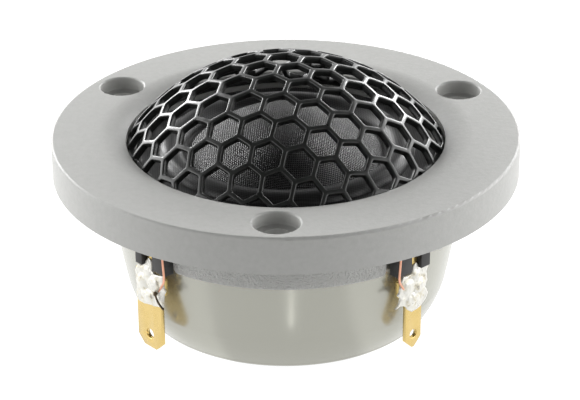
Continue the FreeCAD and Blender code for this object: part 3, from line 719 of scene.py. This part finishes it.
def tube_along(name, route, azimuth, radius):
    """Mesh tube on a smooth line near the route's points, turned to its azimuth."""
    curve = bpy.data.curves.new(name, "CURVE")
    curve.dimensions = "3D"
    spline = curve.splines.new("NURBS")
    spline.points.add(len(route) - 1)
    turn = facing_matrix(azimuth)
    for point, spot in zip(spline.points, route):
        point.co = (turn @ (spot * MM)).to_4d()
    spline.use_endpoint_u = True
    spline.order_u = 3
    spline.resolution_u = 12
    curve.bevel_depth = radius * MM
    curve.bevel_resolution = 4
    curve.use_fill_caps = True
    raw = bpy.data.objects.new(name + "_raw", curve)
    bpy.context.scene.collection.objects.link(raw)
    graph = bpy.context.evaluated_depsgraph_get()
    mesh = bpy.data.meshes.new_from_object(raw.evaluated_get(graph))
    bpy.data.objects.remove(raw)
    mesh.name = name
    return mesh


# The wires, with their route's heights and distances from the tweeter's axis.
WIRE_RADIUS = 0.15
WIRE_LEAN = 0.35
BLOCK_BOTTOM = -6.25
CHANNEL_HEIGHT = -0.85
RING_INSIDE = 20.3
COIL_REACH = 12.83
COIL_END_HEIGHT = -0.45


def build_wire(name, node, azimuth, side, joint_spot, coil_side):
    """Lead-out wire on its route from the solder, up a block and through the ring to the coil."""
    outside = -BLOCK_FACE - WIRE_RADIUS - 0.06
    off_blade = -BLADE_FACE - 0.2
    coil_end = Vector((coil_side, -math.sqrt(COIL_REACH ** 2 - coil_side ** 2), COIL_END_HEIGHT))
    ring_inside = Vector((side, -RING_INSIDE, CHANNEL_HEIGHT))
    lean = math.copysign(WIRE_LEAN, side)
    route = [
        Vector((joint_spot[0], off_blade, joint_spot[1])),
        Vector(((joint_spot[0] + side) / 2, off_blade - 0.15, joint_spot[1] + 1.2)),
        Vector((side + lean, outside, BLOCK_BOTTOM - 0.35)),
        Vector((side + lean / 2, outside, BLOCK_BOTTOM + 1.6)),
        Vector((side, outside, CHANNEL_HEIGHT - 1.4)),
        Vector((side, outside, CHANNEL_HEIGHT - 0.55)),
        Vector((side, outside + 0.2, CHANNEL_HEIGHT)),
        Vector((side, outside + 0.8, CHANNEL_HEIGHT)),
        ring_inside,
        ring_inside.lerp(coil_end, 0.5),
        coil_end,
    ]
    mesh = tube_along(name, route, azimuth, WIRE_RADIUS)
    piece = finish_piece(name, mesh, "lead_copper", (node,), None, 60.0)
    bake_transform(piece)


BURNT_END_RADIUS = 0.14


def build_burnt_end(name, azimuth, route, bead):
    """Burnt end of a wire that stands out of the solder, with a bead where it leaves it."""
    mesh = tube_along(name, [Vector(spot) for spot in route], azimuth, BURNT_END_RADIUS)
    work = bmesh.new()
    work.from_mesh(mesh)
    ball = bmesh.ops.create_icosphere(work, subdivisions=3, radius=bead * MM)
    start = facing_matrix(azimuth) @ (Vector(route[0]) * MM)
    for vert in ball["verts"]:
        lump = 1.0 + 0.3 * noise.noise(vert.co / MM * 2.0)
        vert.co = vert.co * lump + start
    work.to_mesh(mesh)
    work.free()
    finish_piece(name, mesh, "solder", (), "frame", 60.0, BURNT_FLUX)


# Size of the grid that foam and felt are remade on, and the depth of their dips.
POROUS_GRID = 0.8
POROUS_DIP = 0.18


def build_porous(name, node):
    """Foam or felt: the CAD solid remade as a fine skin that is roughened."""
    raw = bpy.data.objects.new(name + "_raw", frame["nodes"][node].data.copy())
    bpy.context.scene.collection.objects.link(raw)
    skin = raw.modifiers.new("skin", "REMESH")
    skin.mode = "VOXEL"
    skin.voxel_size = POROUS_GRID * MM
    graph = bpy.context.evaluated_depsgraph_get()
    mesh = bpy.data.meshes.new_from_object(raw.evaluated_get(graph))
    bpy.data.objects.remove(raw)
    mesh.name = name
    for vert in mesh.vertices:
        spot = vert.co / MM
        dip = max(0.0, noise.noise(spot * 1.3)) * POROUS_DIP
        vert.co -= vert.normal * dip * MM
    finish_piece(name, mesh, SLOT_OF[node], (node,), "frame", 70.0)


# ---------------------------------------------------------------- build

build_grille()
build_dome()
build_surround()
build_coil()
softened("diaphragm_ring", "diaphragm_ring_moulding", 0.08)
softened("terminal_wide", "wide_blade", 0.07)
softened("terminal_narrow", "narrow_blade", 0.07)
build_solder("wide_solder_joint", "solder_wide", WIDE_AZIMUTH, (
    (0.5, -5.1), (1.1, -5.5), (1.05, -6.7), (1.6, -7.1), (2.7, -6.9), (3.3, -6.7), (3.3, -7.4),
    (3.4, -8.4), (3.85, -8.7), (3.35, -9.5), (3.1, -11.5), (1.6, -11.85), (0.2, -12.1),
    (-1.3, -12.35), (-1.9, -12.2), (-2.25, -11.1), (-2.1, -9.8), (-2.3, -7.9), (-1.7, -6.9),
    (-0.9, -6.9), (-0.4, -6.3), (0.05, -5.6),
), (
    (0.3, -7.6, 1.0, 1.6, 0.52),
    (-0.8, -9.0, 1.2, 1.5, 0.62),
    (1.4, -8.6, 1.5, 1.2, 0.70),
    (0.2, -10.7, 1.7, 1.2, 0.58),
    (2.2, -10.6, 0.8, 0.9, 0.48),
), 3)
build_solder("narrow_solder_joint", "solder_narrow", NARROW_AZIMUTH, (
    (-0.4, -5.7), (0.15, -5.45), (0.6, -6.3), (1.0, -6.4), (1.9, -6.1), (2.3, -6.1), (2.0, -7.4),
    (2.15, -8.7), (1.75, -9.6), (2.35, -10.6), (1.8, -11.5), (0.9, -12.3), (-0.6, -12.5),
    (-1.5, -11.8), (-1.9, -11.1), (-2.8, -10.9), (-3.75, -11.1), (-3.1, -10.5), (-2.7, -9.8),
    (-3.3, -9.2), (-2.9, -8.8), (-2.75, -7.8), (-2.5, -7.1), (-2.2, -6.7), (-1.3, -6.9),
    (-0.75, -6.8),
), (
    (0.0, -7.4, 1.0, 1.3, 0.50),
    (-1.3, -8.6, 1.2, 1.3, 0.64),
    (0.6, -9.0, 1.2, 1.4, 0.66),
    (-0.6, -10.6, 1.5, 1.3, 0.62),
    (-2.2, -10.1, 0.6, 0.6, 0.42),
), 5)
build_wire("wide_lead_wire", "lead_wire_wide", WIDE_AZIMUTH, 4.2, (2.4, -9.3), 1.8)
build_wire("narrow_lead_wire", "lead_wire_narrow", NARROW_AZIMUTH, -3.45, (-1.9, -9.0), -1.6)
build_burnt_end("wide_wire_end", WIDE_AZIMUTH, (
    (2.1, -24.85, -9.6), (2.7, -25.05, -10.1), (3.2, -25.0, -10.8), (3.75, -24.8, -11.3)), 0.30)
build_porous("chamber_foam_block", "chamber_foam")
build_porous("pole_felt", "pole_pad")

for node_name, node_object in frame["nodes"].items():
    if node_object.hide_render:
        continue
    node_object.data.materials.clear()
    node_object.data.materials.append(MATERIALS[SLOT_OF[node_name]])


# ---------------------------------------------------------------- stage, light and camera

# The floor is a light table. A wedge of it in front of the tweeter glows a little less: a painted
# shadow of the tweeter. Each side of the wedge is the line x * side + slope * y = edge. Below the
# picture the floor's glow fades softly to a slightly dimmer tone: painted shade on the floor in front.
FLOOR_GLOW = 1.22
# Glow inside the wedge, which is the painted shadow.
SHADOW_WEDGE_GLOW = 0.98
# Glow that the floor loses in front, below the picture: painted shade.
PAINTED_FRONT_SHADE = 0.42
FLOOR_GREY = 0.06
FLOOR_REACH = 6.0
FLOOR_GAP = 0.02 * MM
SHADOW_WEDGE_SIDES = ((-1.0, 1.35, -18 * MM), (1.0, 0.55, 1.8 * MM))
SHADOW_WEDGE_BLUR = 2 * MM
SHADOW_WEDGE_END = (-80 * MM, -36 * MM)
FRONT_FADE = (-100 * MM, -33.5 * MM)
SIDE_FADE = (60 * MM, 260 * MM)


def fade(nodes, links, value, span, result=(0.0, 1.0)):
    """A smooth change of a value from one result to the other over a span."""
    node = nodes.new("ShaderNodeMapRange")
    node.interpolation_type = "SMOOTHSTEP"
    for name, number in zip(("From Min", "From Max", "To Min", "To Max"), (*span, *result)):
        node.inputs[name].default_value = number
    links.new(value, node.inputs["Value"])
    return node.outputs["Result"]


def combine(nodes, links, operation, first, second):
    """Two values put together by a math node; the second may be a plain number."""
    node = nodes.new("ShaderNodeMath")
    node.operation = operation
    links.new(first, node.inputs[0])
    if isinstance(second, float):
        node.inputs[1].default_value = second
    else:
        links.new(second, node.inputs[1])
    return node.outputs[0]


def build_floor():
    """Pale floor that is lit from within, as a studio's light table is, with a painted shadow of the
    tweeter and painted shade in front of it, both as dimmer glow.
    """
    mesh = bpy.data.meshes.new("studio_floor")
    corners = [(x * FLOOR_REACH, y * FLOOR_REACH, FLOOR_Z - FLOOR_GAP)
               for x, y in ((-1, -1), (1, -1), (1, 1), (-1, 1))]
    mesh.from_pydata(corners, [], [(0, 1, 2, 3)])
    floor = bpy.data.objects.new("studio_floor", mesh)
    material = bpy.data.materials.new("studio_floor")
    material.use_nodes = True
    nodes, links = material.node_tree.nodes, material.node_tree.links
    surface = nodes["Principled BSDF"]
    surface.inputs["Base Color"].default_value = (FLOOR_GREY, FLOOR_GREY, FLOOR_GREY, 1)
    surface.inputs["Roughness"].default_value = 0.9
    surface.inputs["Specular IOR Level"].default_value = 0.0
    surface.inputs["Emission Color"].default_value = (1, 1, 1, 1)
    place = nodes.new("ShaderNodeTexCoord")
    split = nodes.new("ShaderNodeSeparateXYZ")
    links.new(place.outputs["Object"], split.inputs[0])
    outside = None
    for side, slope, edge in SHADOW_WEDGE_SIDES:
        across = combine(nodes, links, "MULTIPLY", split.outputs["X"], side)
        slant = combine(nodes, links, "MULTIPLY", split.outputs["Y"], slope)
        beyond = fade(nodes, links, combine(nodes, links, "ADD", slant, across),
                      (edge - SHADOW_WEDGE_BLUR, edge + SHADOW_WEDGE_BLUR))
        outside = beyond if outside is None else combine(nodes, links, "MAXIMUM", outside, beyond)
    near = fade(nodes, links, split.outputs["Y"], SHADOW_WEDGE_END)
    # Painted shadow: the floor outside the wedge glows brighter than inside it.
    extra = combine(nodes, links, "MULTIPLY", combine(nodes, links, "MULTIPLY", outside, near),
                    FLOOR_GLOW - SHADOW_WEDGE_GLOW)
    beside = combine(nodes, links, "ABSOLUTE", split.outputs["X"], 0.0)
    # Painted shade: the floor in front of the tweeter, below the picture, glows less.
    front_shade_mask = combine(nodes, links, "MULTIPLY",
                    fade(nodes, links, split.outputs["Y"], FRONT_FADE, (1.0, 0.0)),
                    fade(nodes, links, beside, SIDE_FADE, (1.0, 0.0)))
    painted_front_shade = combine(nodes, links, "MULTIPLY", front_shade_mask, -PAINTED_FRONT_SHADE)
    glow = combine(nodes, links, "ADD", combine(nodes, links, "ADD", extra, painted_front_shade), SHADOW_WEDGE_GLOW)
    links.new(glow, surface.inputs["Emission Strength"])
    mesh.materials.append(material)
    bpy.context.scene.collection.objects.link(floor)


def add_softbox(name, azimuth_deg, elevation_deg, distance, width, height, radiance):
    """A soft rectangular light that looks at the tweeter, as bright as its radiance."""
    light = bpy.data.lights.new(name, "AREA")
    light.shape = "RECTANGLE"
    light.size = width
    light.size_y = height
    light.energy = radiance * math.pi * width * height
    lamp = bpy.data.objects.new(name, light)
    a, e = math.radians(azimuth_deg), math.radians(elevation_deg)
    back = Vector((math.sin(a) * math.cos(e), -math.cos(a) * math.cos(e), math.sin(e)))
    lamp.location = back * distance
    lamp.rotation_mode = "QUATERNION"
    lamp.rotation_quaternion = back.to_track_quat("Z", "Y")
    bpy.context.scene.collection.objects.link(lamp)


# Brightness of the studio round the tweeter. It is dark on the camera's side and overhead, and the
# walls at the sides and behind are pale up to a third of the way to the zenith.
DARK_STUDIO = 0.09
PALE_WALLS = 4.3
WALL_ENDS = (-0.80, -0.35)
WALL_TOP = (0.72, 0.34)
BACK_MIDDLE = (0.15, 0.55)
BACK_MIDDLE_TONE = 0.25


def build_world():
    """Studio with pale walls at the sides and behind the tweeter."""
    world = bpy.data.worlds.new("studio")
    world.use_nodes = True
    bpy.context.scene.world = world
    nodes, links = world.node_tree.nodes, world.node_tree.links
    background = nodes["Background"]
    background.inputs["Color"].default_value = (1, 1, 1, 1)
    place = nodes.new("ShaderNodeTexCoord")
    split = nodes.new("ShaderNodeSeparateXYZ")
    links.new(place.outputs["Generated"], split.inputs[0])
    behind = fade(nodes, links, split.outputs["Y"], WALL_ENDS)
    low = fade(nodes, links, split.outputs["Z"], WALL_TOP[::-1], (1.0, 0.0))
    aside = combine(nodes, links, "ABSOLUTE", split.outputs["X"], 0.0)
    edges = fade(nodes, links, aside, BACK_MIDDLE, (BACK_MIDDLE_TONE, 1.0))
    wall = combine(nodes, links, "MULTIPLY", combine(nodes, links, "MULTIPLY", behind, low), edges)
    bright = combine(nodes, links, "MULTIPLY", wall, PALE_WALLS)
    links.new(combine(nodes, links, "ADD", bright, DARK_STUDIO), background.inputs["Strength"])


# A narrow light that lies on the floor in front, below the picture. It makes the pale streak down
# the middle of the cup.
STREAK_LIGHT = (1.0 * MM, 15 * MM)
STREAK_SPOT = (2.9 * MM, -35.5 * MM)
STREAK_TURN = math.radians(6.5)
STREAK_RADIANCE = 1.6


def add_streak_light():
    light = bpy.data.lights.new("streak_light", "AREA")
    light.shape = "RECTANGLE"
    light.size, light.size_y = STREAK_LIGHT
    light.energy = STREAK_RADIANCE * math.pi * light.size * light.size_y
    lamp = bpy.data.objects.new("streak_light", light)
    lamp.location = (*STREAK_SPOT, FLOOR_Z + 0.5 * MM)
    lamp.rotation_euler = (math.pi, 0, STREAK_TURN)
    bpy.context.scene.collection.objects.link(lamp)


# The photograph's view: camera distance, elevation and azimuth about the middle of the flange's
# top face, then how far the camera pans, tilts and rolls away from looking straight at it.
VIEW_DISTANCE = 293.8
VIEW_ELEVATION = math.radians(24.98)
VIEW_AZIMUTH = math.radians(2.6)
VIEW_PAN = math.radians(0.096)
VIEW_TILT = math.radians(-1.832)
VIEW_ROLL = math.radians(-0.439)
LENS_MM = 137.6
SENSOR_MM = 36.0
FLANGE_TOP = 5.0


def build_camera():
    data = bpy.data.cameras.new("camera")
    data.lens = LENS_MM
    data.sensor_width = SENSOR_MM
    data.clip_start = 0.02
    data.clip_end = 50.0
    camera = bpy.data.objects.new("camera", data)
    back = Vector((math.sin(VIEW_AZIMUTH) * math.cos(VIEW_ELEVATION),
                   -math.cos(VIEW_AZIMUTH) * math.cos(VIEW_ELEVATION), math.sin(VIEW_ELEVATION)))
    forward = -back
    right = forward.cross(Vector((0, 0, 1))).normalized()
    up = right.cross(forward)
    panned = forward * math.cos(VIEW_PAN) + right * math.sin(VIEW_PAN)
    right_panned = right * math.cos(VIEW_PAN) - forward * math.sin(VIEW_PAN)
    aimed = panned * math.cos(VIEW_TILT) + up * math.sin(VIEW_TILT)
    up_tilted = up * math.cos(VIEW_TILT) - panned * math.sin(VIEW_TILT)
    right_final = right_panned * math.cos(VIEW_ROLL) + up_tilted * math.sin(VIEW_ROLL)
    up_final = up_tilted * math.cos(VIEW_ROLL) - right_panned * math.sin(VIEW_ROLL)
    place = Matrix((right_final, up_final, -aimed)).transposed().to_4x4()
    place.translation = (Vector((0, 0, FLANGE_TOP)) + back * VIEW_DISTANCE) * MM
    camera.matrix_world = place
    bpy.context.scene.collection.objects.link(camera)
    bpy.context.scene.camera = camera


build_floor()
build_world()
add_softbox("left_softbox", -139, 22, 0.6, 0.24, 0.18, 19.0)
add_softbox("right_softbox", 151, 20, 0.6, 0.20, 0.16, 20.0)
add_streak_light()
build_camera()
bpy.context.scene.view_settings.view_transform = "Standard"
